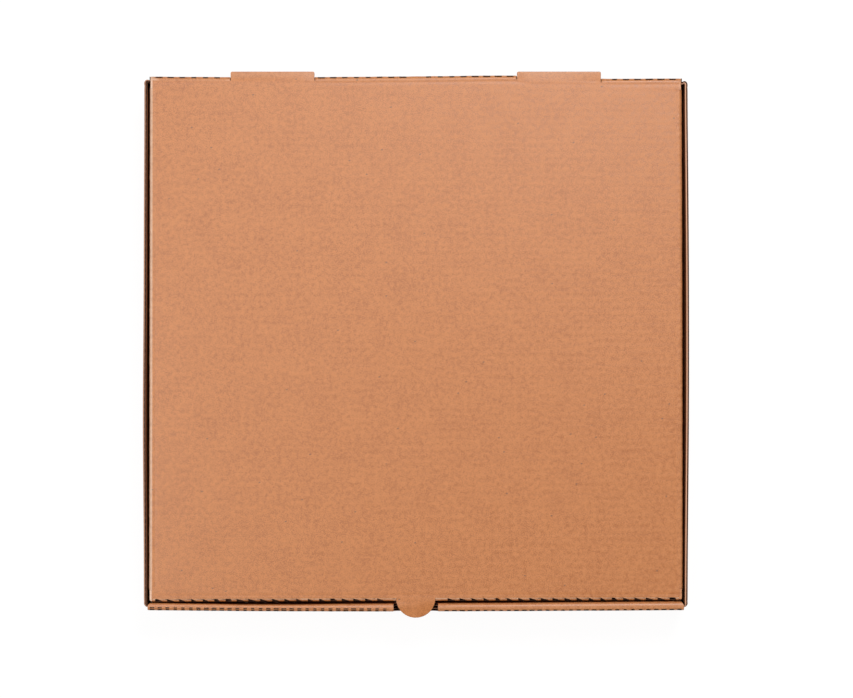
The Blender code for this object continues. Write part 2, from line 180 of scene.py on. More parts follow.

# How pale the paper is made at the lid's sides (left and right), its front, the tray's front, the rear
# crease and the rear tabs, and over which part of a fold's turn. It is partly stretched liner at the creases
# and partly
# painted highlight: the left side is made far paler than the right, a fold is pale only over the part of its
# turn that faces up, and the rear tabs are paler towards their ends
PALE_AND_HIGHLIGHT_SIDE_SHARES = (0.9, 0.15)
PALE_FRONT_SHARE = 0.75
PALE_HEM_SHARE = 0.10
PALE_REAR_SHARE = 0.04
TAB_HIGHLIGHT_SHARE = 0.11
PALE_TURN = 0.35
PALE_TURN_END = 0.95
PALE_FRONT_TURN_END = 0.40
EAR_PALE_WIDTH = 0.0006

# Marks on cut faces, which are a true edge or the inside of a slit
RAW_RIM = 1.0
SLIT_RIM = 2.0

# Meshing
ARC_STEPS = 6
COLUMN_SPACING = 0.040
CREASE_COLUMN_SPACING = 0.005
ROW_REACH_SHARE = 3
NEAR_COLUMNS = (0.0006, 0.0010, 0.0014, 0.0020, 0.0028)
MERGE = 0.000001
LINE_GAP = 0.00012
SEAM_REACH = 0.0003
FAR_AWAY = -1.0
SMOOTH_ANGLE = math.radians(40)
QUARTER = math.pi / 2

# Kraft paper's unevenness, each kind as the scale, detail and roughness of its noise
CLOUD = (70.0, 3.0, 0.55)
MOTTLE = (420.0, 3.0, 0.6)
GRAIN = (2100.0, 3.0, 0.7)
FIBRES = (1.0, 2.0, 0.6)
FIBRE_STRETCH = (420.0, 4200.0, 1.0)
FIBRE_ANGLES = (math.radians(58), math.radians(-37))
PLY_PATTERN_STEP = 0.5

# How much each kind counts in the paper's tone, and the tones at which it is darkest and palest
TONE_START = 0.065
CLOUD_SHARE = 0.22
MOTTLE_SHARE = 0.60
GRAIN_SHARE = 1.35
FIBRE_SHARE = 1.0
FLUTE_LINE_SHARE = 0.006
TONE_RANGE = (1.53, 1.77)

# Dark flecks: one cell in about sixty holds one
FLECK_SCALE = 170.0
FLECK_STRETCH = (1.0, 1.8, 1.0)
FLECK_ANGLE = math.radians(20)
FLECK_EDGE = (0.11, 0.06)
FLECK_CHANCE = (0.982, 0.986)
FLECK_STRENGTH = 0.9

# Patches in the pale folds and the raw edges, and the paper's relief and gloss
PATCHES = (0.35, 0.65, 0.7, 1.0)
EDGE_FALL = 4.0
SIDE_CHANGE = 0.01
BUMP_FIBRE_SHARE = 0.6
BUMP_GRAIN_SHARE = 0.4
BUMP_STRENGTH = 0.55
BUMP_DEPTH = 0.00006
GLOSS_PATCHES = (0.3, 0.7)
SMOOTHER = 0.05
ROUGHER = 0.07
SPECULAR = 0.9

# Colours of the paper
# Painted highlight as well as stretched liner: the colour of the pale folds, ears and rear tabs
FLECK_COLOUR = (0.20, 0.095, 0.045, 1.0)
PALE_AND_HIGHLIGHT_COLOUR = (0.95, 0.66, 0.47, 1.0)
# Painted shade: the cut faces inside slits are dark for the shade within them
SLIT_SHADE_COLOUR = (0.09, 0.034, 0.018, 1.0)
# Painted highlight for cut edges that the lamps light
RAW_HIGHLIGHT = (0.78, 0.42, 0.26, 1.0)
RAW_BROWN = (0.40, 0.20, 0.12, 1.0)
# Painted shade for cut edges and flute hollows that lie in shade
RAW_SHADE_BLACK = (0.04, 0.014, 0.008, 1.0)

# Each ply's palest and darkest paper, its raw edges on the left and on the right, and its roughness; the raw
# edges on the two sides are painted light and shade, black where an edge lies in shade and pale where the
# lamps light it
OUTER_LOOK = ((0.66, 0.236, 0.058, 1.0), (0.46, 0.139, 0.025, 1.0), RAW_BROWN, RAW_SHADE_BLACK, 0.43)
# The inner liner is darker than the outer, as inner liners often are, and also as painted shade, so that the
# gaps between lid and walls look dark
INNER_LOOK = ((0.40, 0.148, 0.041, 1.0), (0.27, 0.087, 0.020, 1.0), RAW_SHADE_BLACK, RAW_HIGHLIGHT, 0.60)
# The medium is nearly black: painted shade for the hollows of its flutes, seen at cut edges and through the
# slits
MEDIUM_SHADED_LOOK = ((0.08, 0.030, 0.013, 1.0), (0.04, 0.015, 0.007, 1.0), RAW_SHADE_BLACK, RAW_SHADE_BLACK, 0.85)

# Studio; a lamp is its name, place, size, watts and colour
WHITE = (1.0, 1.0, 1.0, 1.0)
GROUND_SIZE = 40.0
GROUND_COLOUR = (0.86, 0.86, 0.86, 1.0)
GROUND_ROUGHNESS = 0.9
GROUND_GLOW = 1.08
GROUND_GLOW_SHARE = 0.86
SKY_LIGHT = 0.24
SKY_SEEN = 1.0
LAMPS = (
    ("rear", (0.19, 0.52, 1.15), 0.5, 8.2, (1.0, 0.99, 1.0)),
    ("left", (-0.50, -0.10, 1.00), 0.4, 3.2, (1.0, 0.99, 1.0)),
    ("fill", (0.55, -0.60, 0.9), 0.8, 0.7, (1.0, 0.86, 0.68)),
)

# Camera: the picture's size in pixels, the place of the box's middle in it, a pixel's size on the lid
# in metres, and the lens and sensor in millimetres
FRAME_WIDTH = 853
FRAME_HEIGHT = 698
MIDDLE_PIXEL = (415.74, 344.1)
PIXEL_SIZE = 0.5152 / 1000
LENS = 200.0
SENSOR = 36.0
VIEW_END = 100.0

# Sizes that follow
FOLD_RADIUS = INNER_FOLD + BOARD / 2
FOLD_ARC = FOLD_RADIUS * QUARTER
CORNER_RADIUS = INNER_CORNER + BOARD / 2
CORNER_ARC = CORNER_RADIUS * QUARTER
SETBACK = FOLD_RADIUS + BOARD / 2
FRONT_WALL = 2 * BOARD + TRAPPED_BOARD + 2 * PLY_GAP
FRONT_REACH = 3 * FRONT_WALL
WALL_TOP = BOX_HEIGHT - WALL_DROP
LID_DEPTH = BOX_DEPTH - FRONT_WALL - LID_FRONT_GAP
TAB_SWING = math.hypot(REAR_TAB_REACH, BOARD) + HINGE_GAP
FLAP_TOP = BOX_HEIGHT - TAB_SWING
FLAP_BASE = SETBACK + HEM_GAP
BOTTOM_EDGE = BOX_WIDTH / 2 - SETBACK
PANEL_REAR = SETBACK
PANEL_FRONT = LID_DEPTH - SETBACK
PANEL_SIDE = LID_WIDTH / 2 - SETBACK
HINGE_LINE = PANEL_REAR - FOLD_ARC
TAB_INNER = REAR_TAB_OFFSET - REAR_TAB_WIDTH / 2
TAB_OUTER = REAR_TAB_OFFSET + REAR_TAB_WIDTH / 2
EAR_SIDE = LID_WIDTH / 2 - EAR_INSET
THUMB_MIDDLE = THUMB_TIP - THUMB_RADIUS


def rounded(corners):
    """Points of an outline given as (x, y, radius) corners, each corner with a radius an arc."""
    points = []
    for index, (x, y, radius) in enumerate(corners):
        corner = Vector((x, y))
        if not radius:
            points.append(corner)
            continue
        before = (Vector(corners[index - 1][:2]) - corner).normalized()
        after = (Vector(corners[(index + 1) % len(corners)][:2]) - corner).normalized()
        half = before.angle(after) / 2
        centre = corner + (before + after).normalized() * radius / math.sin(half)
        reach = radius / math.tan(half)
        start = corner + before * reach - centre
        turn = start.angle_signed(corner + after * reach - centre)
        for step in range(ARC_STEPS + 1):
            angle = -turn * step / ARC_STEPS
            across = start.x * math.cos(angle) - start.y * math.sin(angle)
            along = start.x * math.sin(angle) + start.y * math.cos(angle)
            points.append(centre + Vector((across, along)))
    return points


def arc(centre, radius, start, end):
    """Points along an arc from one angle to another."""
    places = [start + (end - start) * step / (2 * ARC_STEPS) for step in range(2 * ARC_STEPS + 1)]
    return [centre + radius * Vector((math.cos(place), math.sin(place))) for place in places]


def tray_routes():
    """Routes of the board's middle from the middle of the bottom, and the corner routes in plan."""
    half_depth = BOX_DEPTH / 2 - SETBACK
    hem_drop = WALL_TOP - SETBACK - BOARD - HEM_GAP
    front_flap = BOARD + PLY_GAP + BOARD * CRUSHED_SHARE / 2
    rear_flap = BOARD + PLY_GAP + BOARD / 2
    flap_run = FLAP_LENGTH - BOARD / 2 - CORNER_RADIUS
    return {
        "front": [
            (half_depth, QUARTER, FOLD_RADIUS),
            (WALL_TOP - 2 * SETBACK, QUARTER, FOLD_RADIUS),
            (FRONT_WALL - 2 * SETBACK, QUARTER, FOLD_RADIUS),
            (hem_drop, 0.0, FOLD_RADIUS),
        ],
        "rear": [
            (half_depth, QUARTER, FOLD_RADIUS),
            (BOX_HEIGHT - 2 * SETBACK - SEAM_REACH, 0.0, FOLD_RADIUS),
        ],
        "side": [
            (BOTTOM_EDGE, QUARTER, FOLD_RADIUS),
            (WALL_TOP - SETBACK, 0.0, FOLD_RADIUS),
        ],
        "front corner": [
            (BOX_DEPTH / 2 - front_flap - CORNER_RADIUS, QUARTER, CORNER_RADIUS),
            (flap_run, 0.0, CORNER_RADIUS),
        ],
        "rear corner": [
            (BOX_DEPTH / 2 - rear_flap - CORNER_RADIUS, QUARTER, CORNER_RADIUS),
            (flap_run, 0.0, CORNER_RADIUS),
        ],
    }


ROUTES = tray_routes()
LID_ROUTE = [(0.0, QUARTER, FOLD_RADIUS), (BOX_HEIGHT, 0.0, FOLD_RADIUS)]


def route_length(route):
    """Whole length of a route."""
    return sum(straight + bend * radius for straight, bend, radius in route)


# Length along the blank at which the lid's own lengths start
LID_START = route_length(ROUTES["rear"]) + SEAM_REACH - HINGE_LINE


def bends(route):
    """Start and length of each bend on a route."""
    found = []
    length = 0.0
    for straight, bend, radius in route:
        length += straight
        if bend:
            found.append((length, bend * radius))
        length += bend * radius
    return found


def bend_lines(start, length):
    """Places at which the sheet is split for one bend."""
    return [start + length * step / BEND_STEPS for step in range(BEND_STEPS + 1)]


def walk(route, length):
    """Places reached on a route of (straight, bend, radius) legs, and the turns made, for each length."""
    along = np.zeros_like(length)
    rise = np.zeros_like(length)
    turn = np.zeros_like(length)
    left = length.copy()
    for straight, bend, radius in route:
        step = np.minimum(left, straight) if bend else left
        along += step * np.cos(turn)
        rise += step * np.sin(turn)
        left = left - step
        bent = np.minimum(left / radius, bend)
        chord = 2 * radius * np.sin(bent / 2)
        along += chord * np.cos(turn + bent / 2)
        rise += chord * np.sin(turn + bent / 2)
        turn = turn + bent
        left = left - bent * radius
    return along, rise, turn


def closeness(length, creases):
    """How close points are to creases and to the shoulders beside them, from 0 far away to 1 on one."""
    crease = np.zeros_like(length)
    shoulder = np.zeros_like(length)
    for start, span in creases:
        distance = np.maximum(start - length, length - start - span)
        crease = np.maximum(crease, np.exp(-(np.maximum(distance, 0.0) / CREASE_FADE) ** 2))
        shoulder = np.maximum(shoulder, np.exp(-((distance - SHOULDER_REACH) / SHOULDER_WIDTH) ** 2))
    return crease, shoulder


def ripple(values, waves):
    """A smooth uneven line, the mean of sines with the given (wavelength, phase)."""
    sines = [np.sin(2 * math.pi * values / wavelength + phase) for wavelength, phase in waves]
    return sum(sines) / len(waves)


def bulge(x):
    """How far the hinge crease stands off the rear wall."""
    return REAR_BULGE * np.interp(x / (BOX_WIDTH / 2), BULGE_PLACE_SHARES, BULGE_SHARES)


def bulge_columns():
    """Columns at which the hinge crease's line changes direction."""
    return sorted({abs(share) * BOX_WIDTH / 2 for share in BULGE_PLACE_SHARES[1:-1]} - {0.0})


def ease(share):
    """A smooth step from 0 to 1."""
    share = share.clip(0.0, 1.0)
    return share * share * (3 - 2 * share)


def corner_flap(route, towards):
    """Outline of a front (-1) or rear (1) corner flap, from the bottom's edge up to the wall's top."""
    start = route[0][0]
    bent = start + CORNER_ARC
    end = route_length(route)
    base = BOTTOM_EDGE + FOLD_ARC + FLAP_BASE - SETBACK
    top = BOTTOM_EDGE + FOLD_ARC + FLAP_TOP - SETBACK
    wall_top = BOTTOM_EDGE + FOLD_ARC + WALL_TOP - SETBACK
    rim_end = start if towards < 0 else start + CORNER_ARC / 2
    foot = start + CORNER_ARC * CORNER_FOOT_SHARE
    return [
        (BOTTOM_EDGE, towards * foot, 0.0),
        (base, towards * foot, 0.0),
        (base, towards * bent, 0.0),
        (base + FLAP_TAPER, towards * end, FLAP_ROUND),
        (top - FLAP_TAPER, towards * end, FLAP_ROUND),
        (top, towards * (bent + FLAP_TAPER), 0.0),
        (wall_top, towards * rim_end, 0.0),
    ]


def tray_outline():
    """Edge of the right half of the tray's blank."""
    front = ROUTES["front"]
    wall_half = BOTTOM_EDGE - KERF
    hem_half = BOX_WIDTH / 2 - BOARD - CORNER_RADIUS - SLOT_GAP
    rear_half = LID_WIDTH / 2
    bottom_half = front[0][0]
    wall_top = bottom_half + FOLD_ARC + front[1][0]
    strip = wall_top + FOLD_ARC
    hem_edge = route_length(front)
    lug_edge = hem_edge + BOARD
    lug_inner = LUG_OFFSET - LUG_WIDTH / 2
    lug_outer = LUG_OFFSET + LUG_WIDTH / 2
    notch_fall = NOTCH_DEPTH - SETBACK
    notch_far = strip + front[2][0] + FOLD_ARC + notch_fall
    rear_edge = route_length(ROUTES["rear"])
    window = rear_edge - (TAB_SWING - SETBACK - SEAM_REACH)
    window_inner = TAB_INNER - KERF
    window_outer = TAB_OUTER + KERF
    corners = [
        (0.0, -notch_far, 0.0),
        (0.0, -hem_edge, 0.0),
        (lug_inner, -hem_edge, 0.0),
        (lug_inner, -lug_edge, 0.0),
        (lug_outer, -lug_edge, 0.0),
        (lug_outer, -hem_edge, 0.0),
        (hem_half, -hem_edge, 0.0),
        (hem_half, -strip - front[2][0] - FOLD_ARC, 0.0),
        (BOTTOM_EDGE, -strip - front[2][0], 0.0),
        (BOTTOM_EDGE, -wall_top, 0.0),
        (wall_half, -bottom_half, 0.0),
    ]
    corners += corner_flap(ROUTES["front corner"], -1)
    corners += reversed(corner_flap(ROUTES["rear corner"], 1))
    corners += [
        (rear_half, bottom_half, 0.0),
        (rear_half, rear_edge, 0.0),
        (window_outer, rear_edge, 0.0),
        (window_outer, window, 0.0),
        (window_inner, window, 0.0),
        (window_inner, rear_edge, 0.0),
        (0.0, rear_edge, 0.0),
        (0.0, notch_fall - wall_top, 0.0),
        (NOTCH_WIDTH / 2, notch_fall - wall_top, NOTCH_ROUND),
        (NOTCH_WIDTH / 2, -notch_far, NOTCH_ROUND),
    ]
    return rounded(corners)


def lid_outline():
    """Edge of the right half of the lid's blank, measured from its middle and from the rear face."""
    rear = PANEL_REAR + SEAM_REACH
    ear_front = LID_DEPTH - EAR_INSET
    tuck_rear = SIDE_TUCK_INSET
    tuck_front = LID_DEPTH - SIDE_TUCK_INSET
    side_end = PANEL_SIDE + FOLD_ARC + BOX_HEIGHT * SIDE_TUCK_SHARE - SETBACK
    front_half = PANEL_SIDE - KNIFE_CUT
    swing = LID_DEPTH + LID_FRONT_GAP - SWING_GAP
    tuck_depth = min(math.sqrt(swing ** 2 - LID_DEPTH ** 2), BOX_HEIGHT * SIDE_TUCK_SHARE)
    front_end = PANEL_FRONT + FOLD_ARC + tuck_depth - SETBACK
    thumb = Vector((0.0, THUMB_MIDDLE))
    thumb_start = PANEL_FRONT - THUMB_MIDDLE
    edge = rounded([
        (0.0, rear, 0.0),
        (TAB_INNER, rear, 0.0),
        (TAB_INNER, -REAR_TAB_REACH, REAR_TAB_ROUND),
        (TAB_OUTER, -REAR_TAB_REACH, REAR_TAB_ROUND),
        (TAB_OUTER, rear, 0.0),
        (EAR_SIDE, rear, 0.0),
        (EAR_SIDE, tuck_rear - KNIFE_CUT, 0.0),
        (PANEL_SIDE, tuck_rear - KNIFE_CUT, 0.0),
        (PANEL_SIDE, tuck_rear, 0.0),
        (PANEL_SIDE + FOLD_ARC, tuck_rear, 0.0),
        (side_end, tuck_rear + TUCK_TAPER, TUCK_ROUND),
        (side_end, tuck_front - TUCK_TAPER, TUCK_ROUND),
        (PANEL_SIDE + FOLD_ARC, tuck_front, 0.0),
        (PANEL_SIDE, tuck_front, 0.0),
        (PANEL_SIDE, tuck_front + KNIFE_CUT, 0.0),
        (EAR_SIDE, tuck_front + KNIFE_CUT, 0.0),
        (EAR_SIDE, ear_front, EAR_ROUND),
        (front_half + KNIFE_CUT, ear_front, 0.0),
        (front_half + KNIFE_CUT, PANEL_FRONT, 0.0),
        (front_half, PANEL_FRONT, 0.0),
        (front_half, PANEL_FRONT + FOLD_ARC, 0.0),
        (front_half - TUCK_TAPER, front_end, TUCK_ROUND),
        (0.0, front_end, 0.0),
    ])
    outer = THUMB_RADIUS + KNIFE_CUT
    edge += arc(thumb, outer, QUARTER, math.asin(thumb_start / outer))
    edge += arc(thumb, THUMB_RADIUS, math.asin(thumb_start / THUMB_RADIUS), QUARTER)
    return edge


def crease_outlines():
    """Edges of the right half of the crease behind the lid, on either side of a rear tab."""
    low = HINGE_LINE - SEAM_REACH
    high = PANEL_REAR + SEAM_REACH
    spans = [(0.0, TAB_INNER - KERF), (TAB_OUTER + KERF, EAR_SIDE)]
    return [[Vector(point) for point in ((a, low), (b, low), (b, high), (a, high))] for a, b in spans]


def slice_sheet(sheet, faces, axis, lines):
    """Split faces along lines across one axis, the middle line first, so that each cut meets few faces."""
    if not lines or not faces:
        return
    half = len(lines) // 2
    point = Vector()
    normal = Vector()
    point[axis] = lines[half]
    normal[axis] = 1.0
    edges = list(dict.fromkeys(edge for face in faces for edge in face.edges))
    verts = list(dict.fromkeys(vert for face in faces for vert in face.verts))
    geometry = faces + edges + verts
    cut = bmesh.ops.bisect_plane(sheet, geom=geometry, dist=MERGE, plane_co=point, plane_no=normal)
    faces = [item for item in cut["geom"] if isinstance(item, bmesh.types.BMFace)]
    places = [face.calc_center_bounds()[axis] for face in faces]
    below = [face for face, place in zip(faces, places) if place < lines[half]]
    above = [face for face, place in zip(faces, places) if place > lines[half]]
    slice_sheet(sheet, below, axis, lines[:half])
    slice_sheet(sheet, above, axis, lines[half + 1:])


def spread(low, high, wanted, spacing):
    """The wanted lines, with more lines between them wherever they are further apart than the spacing."""
    lines = sorted({round(line, 7) for line in wanted if low < line < high} | {low, high})
    filled = []
    for start, end in zip(lines, lines[1:]):
        count = max(1, math.ceil((end - start) / spacing))
        filled += [start + (end - start) * step / count for step in range(count)]
    return filled[1:]


def flute_rows(low, high, keep_clear, start):
    """Lines along the crests, troughs and slopes of the flutes, clear of the lines that are cut already."""
    step = FLUTE_PITCH / FLUTE_STEPS
    first = math.ceil((low + start) / step)
    last = math.floor((high + start) / step)
    rows = [index * step - start for index in range(first, last + 1)]
    return [row for row in rows if all(not a - LINE_GAP < row < b + LINE_GAP for a, b in keep_clear)]


def remove_faces(sheet, unwanted):
    """Take faces out of the sheet by where their middles lie."""
    faces = [face for face in sheet.faces if unwanted(face.calc_center_median())]
    bmesh.ops.delete(sheet, geom=faces, context="FACES")


def perforate(sheet, start, towards, steps, drop, spans, pitch, sides=(1, -1), ramp=0.0):
    """Cut slits along a fold that runs across the box, and on past its end by the drop.

    With a ramp the board is cut through, and each slit narrows towards the right by that much.
    Otherwise the slits go through the outer liner alone.
    """
    near, far = (start + towards * FOLD_ARC * step / BEND_STEPS for step in steps)
    low, high = sorted((near, far + towards * drop))
    slits = []
    for first, last in spans:
        count = int((last - first) / pitch)
        middles = last - pitch * (np.arange(count) + 1 / 2)
        for side in sides:
            uneven = CUT_UNEVEN * np.sin(SLIT_RHYTHM * np.arange(count) + SLIT_PHASES[side < 0])
            half_cuts = pitch * CUT_SHARE / 2 * (1 + uneven)
            pairs = zip(side * (middles - half_cuts), side * (middles + half_cuts))
            slits += [tuple(sorted(pair)) for pair in pairs]
    strip = [face for face in sheet.faces if low < face.calc_center_median().y < high]
    slice_sheet(sheet, strip, 0, sorted(place for slit in slits for place in slit))

    def in_slit(point):
        return low < point.y < high and any(a < point.x < b for a, b in slits)

    if ramp:
        remove_faces(sheet, in_slit)
        ends = [vert for vert in sheet.verts if abs(vert.co.y - near) < MERGE]
        for vert in ends:
            if any(abs(vert.co.x - b) < MERGE for a, b in slits):
                vert.co.y += towards * ramp
    else:
        layer = sheet.faces.layers.int.get("slit") or sheet.faces.layers.int.new("slit")
        for face in sheet.faces:
            if in_slit(face.calc_center_median()):
                face[layer] = 1


def flat_board(outlines, columns, rows):
    """Both halves of a flat sheet, with a narrow strip along its edge, split along columns and rows."""
    sheet = bmesh.new()
    for outline in outlines:
        sheet.faces.new([sheet.verts.new((point.x, point.y, 0.0)) for point in outline])
    half = sheet.verts[:] + sheet.edges[:] + sheet.faces[:]
    bmesh.ops.mirror(sheet, geom=half, axis="X", merge_dist=MERGE)
    bmesh.ops.remove_doubles(sheet, verts=sheet.verts, dist=MERGE)
    for face in sheet.faces:
        face.normal_update()
        if face.normal.z < 0:
            face.normal_flip()
    bmesh.ops.inset_region(
        sheet, faces=sheet.faces[:], thickness=EDGE_WIDTH, use_boundary=True, use_even_offset=True
    )
    both = sorted(columns + [-column for column in columns])
    slice_sheet(sheet, sheet.faces[:], 0, both)
    slice_sheet(sheet, sheet.faces[:], 1, sorted(rows))
    return sheet


def finish_board(sheet, start, uncut):
    """The sheet's points and faces as arrays, with how far along the whole blank each point lies.

    Where the sheet goes on in another piece, or is only nicked, no edge counts as cut.
    """
    sheet.verts.index_update()
    layer = sheet.faces.layers.int.get("slit")
    board = {
        "flat": np.array([vert.co[:2] for vert in sheet.verts]),
        "faces": [tuple(vert.index for vert in face.verts) for face in sheet.faces],
        "slit": [bool(layer) and face[layer] == 1 for face in sheet.faces],
        "start": start,
    }
    board["edge"] = np.array([float(vert.is_boundary) for vert in sheet.verts])
    board["edge"][uncut(abs(board["flat"][:, 0]), board["flat"][:, 1])] = 0.0
    on_wall = abs(board["flat"][:, 0]) > BOTTOM_EDGE + FOLD_ARC
    board["lip"] = np.where(on_wall & (start == 0.0), board["edge"], 0.0) * np.sign(board["flat"][:, 0])
    sheet.free()
    return board


def tray_board():
    """The tray's flat board, with its perforated front crease and the slots for the hem's lugs."""
    folds = {name: bends(route) for name, route in ROUTES.items()}
    wanted = []
    keep_clear = []
    for name, towards in (("front", -1), ("rear", 1), ("front corner", -1), ("rear corner", 1)):
        for start, length in folds[name]:
            wanted += [towards * line for line in bend_lines(start, length)]
            keep_clear.append(sorted((towards * start, towards * (start + length))))
    slot_middle = FRONT_WALL - BOARD / 2 - BOX_DEPTH / 2
    slot_low = (LUG_OFFSET - LUG_WIDTH / 2 - SLOT_GAP, slot_middle - BOARD / 2 - SLOT_GAP)
    slot_high = (LUG_OFFSET + LUG_WIDTH / 2 + SLOT_GAP, slot_middle + BOARD / 2 + SLOT_GAP)
    keep_clear += [(slot_low[1], slot_low[1]), (slot_high[1], slot_high[1])]
    low = -route_length(ROUTES["front"]) - BOARD
    high = route_length(ROUTES["rear"])
    rows = wanted + [slot_low[1], slot_high[1]] + flute_rows(low, high, keep_clear, 0.0)
    side_start, side_length = folds["side"][0]
    marks = bend_lines(side_start, side_length) + [slot_low[0], slot_high[0]]
    marks += [side_start - near for near in NEAR_COLUMNS]
    marks += [side_start + side_length + near for near in NEAR_COLUMNS] + bulge_columns()
    columns = spread(0.0, route_length(ROUTES["side"]), marks, COLUMN_SPACING)
    sheet = flat_board([tray_outline()], columns, rows)
    remove_faces(
        sheet,
        lambda point: slot_low[0] < abs(point.x) < slot_high[0] and slot_low[1] < point.y < slot_high[1],
    )
    wall_top = folds["front"][1][0]
    span = (NOTCH_WIDTH / 2 + KERF, BOTTOM_EDGE - KERF)
    perforate(sheet, -wall_top, -1, HEM_CUT_STEPS, 0.0, [span], HEM_PERFORATION)
    perforate(sheet, -wall_top, -1, HEM_INNER_CUT_STEPS, 0.0, [span], HEM_PERFORATION, sides=(-1,))
    return finish_board(sheet, 0.0, lambda x, y: abs(y - high) < LINE_GAP)


def lid_board():
    """The lid's flat board, with its perforated front crease."""
    front = bend_lines(PANEL_FRONT, FOLD_ARC)
    side = bend_lines(PANEL_SIDE, FOLD_ARC)
    side_end = PANEL_SIDE + FOLD_ARC + BOX_HEIGHT
    marks = side + [PANEL_SIDE - near for near in NEAR_COLUMNS]
    marks += [PANEL_SIDE + FOLD_ARC + near for near in NEAR_COLUMNS] + bulge_columns()
    columns = spread(0.0, side_end, marks, COLUMN_SPACING)
    cut_end = front[-1] + FRONT_CUT_DROP
    # The rows go on well past the front tuck flap
    far = ROW_REACH_SHARE * side_end
    rows = front + [cut_end] + flute_rows(-REAR_TAB_REACH, far, [(front[0], cut_end)], LID_START)
    sheet = flat_board([lid_outline()], columns, rows)
    span = (THUMB_RADIUS + 2 * KERF, PANEL_SIDE - KERF)
    perforate(
        sheet, PANEL_FRONT, 1, FRONT_CUT_STEPS, FRONT_CUT_DROP, [span], LID_PERFORATION, ramp=FRONT_CUT_RAMP
    )
    ear_cuts = (SIDE_TUCK_INSET - KNIFE_CUT / 2, LID_DEPTH - SIDE_TUCK_INSET + KNIFE_CUT / 2)

    def uncut(x, y):
        at_ear = (x < EAR_SIDE + LINE_GAP) & np.any([abs(y - cut) < LINE_GAP for cut in ear_cuts], axis=0)
        at_thumb = (abs(np.hypot(x, y - THUMB_MIDDLE) - THUMB_RADIUS) < 2 * LINE_GAP) & (y < front[-1])
        at_front = (x < PANEL_SIDE + LINE_GAP) & (y > PANEL_FRONT - LINE_GAP) & (y < cut_end + LINE_GAP)
        at_crease = abs(y - PANEL_REAR - SEAM_REACH) < LINE_GAP
        return at_crease | at_ear | at_thumb | (at_front & ~on_thumb(x, y))

    return finish_board(sheet, LID_START, uncut)


def crease_board():
    """The flat strips of the crease between the rear wall and the lid, perforated."""
    columns = spread(0.0, EAR_SIDE, bulge_columns(), CREASE_COLUMN_SPACING)
    sheet = flat_board(crease_outlines(), columns, bend_lines(HINGE_LINE, FOLD_ARC))
    spans = [(KERF, TAB_INNER - 2 * KERF), (TAB_OUTER + 2 * KERF, PANEL_SIDE)]
    perforate(sheet, HINGE_LINE, 1, REAR_CUT_STEPS, 0.0, spans, LID_PERFORATION)
    middle = (HINGE_LINE + PANEL_REAR) / 2
    reach = FOLD_ARC / 2 + SEAM_REACH - LINE_GAP
    return finish_board(sheet, LID_START, lambda x, y: abs(y - middle) > reach)


def fold_tray(flat):
    """Places, outward directions, board thickness and marks of points of the tray's flat board."""
    side = np.where(flat[:, 0] < 0, -1.0, 1.0)
    x = abs(flat[:, 0])
    front = flat[:, 1] < 0
    y = abs(flat[:, 1])
    towards = np.where(front, -1.0, 1.0)
    on_side = x > BOTTOM_EDGE + MERGE
    front_corner = ROUTES["front corner"]
    rear_corner = ROUTES["rear corner"]

    def either(a, b):
        return np.where(front, a, b)

    along, rise, turn = map(either, walk(ROUTES["front"], y), walk(ROUTES["rear"], y))
    across, height, lean = walk(ROUTES["side"], x)
    round_corner, inward, swing = map(either, walk(front_corner, y), walk(rear_corner, y))
    place = np.where(
        on_side[:, None],
        np.stack([side * (across - inward), MIDDLE + towards * round_corner, BOARD / 2 + height], 1),
        np.stack([side * x, MIDDLE + towards * along, BOARD / 2 + rise], 1),
    )
    tilt = np.sin(lean)
    outward = np.where(
        on_side[:, None],
        np.stack([side * tilt * np.cos(swing), towards * tilt * np.sin(swing), -np.cos(lean)], 1),
        np.stack([0 * x, towards * np.sin(turn), -np.cos(turn)], 1),
    )
    past_corner = np.where(front & on_side, y - front_corner[0][0], 0.0).clip(0.0, CORNER_ARC)
    thickness = BOARD * (1.0 - (1.0 - CRUSHED_SHARE) * past_corner / CORNER_ARC)
    rear_creases = bends(ROUTES["rear"]) + [(route_length(ROUTES["rear"]) + SEAM_REACH, FOLD_ARC)]
    ends = map(either, closeness(y, bends(ROUTES["front"])), closeness(y, rear_creases))
    corners = map(either, closeness(y, bends(front_corner)), closeness(y, bends(rear_corner)))
    sides = closeness(x, bends(ROUTES["side"]))
    marks = [np.maximum(np.where(on_side, c, e), s) for e, c, s in zip(ends, corners, sides)]
    pale = marks[0] * np.where(front, PALE_HEM_SHARE, PALE_REAR_SHARE)
    strip_start, strip_end = (start + length for start, length in bends(ROUTES["front"])[1:])
    on_hem = np.where(front & ~on_side, ((y - strip_start) / (strip_end - strip_start)).clip(0.0, 1.0), 0.0)
    lean_tray(place, on_side, ~front & ~on_side, on_hem)
    return place, outward, thickness, *marks, pale


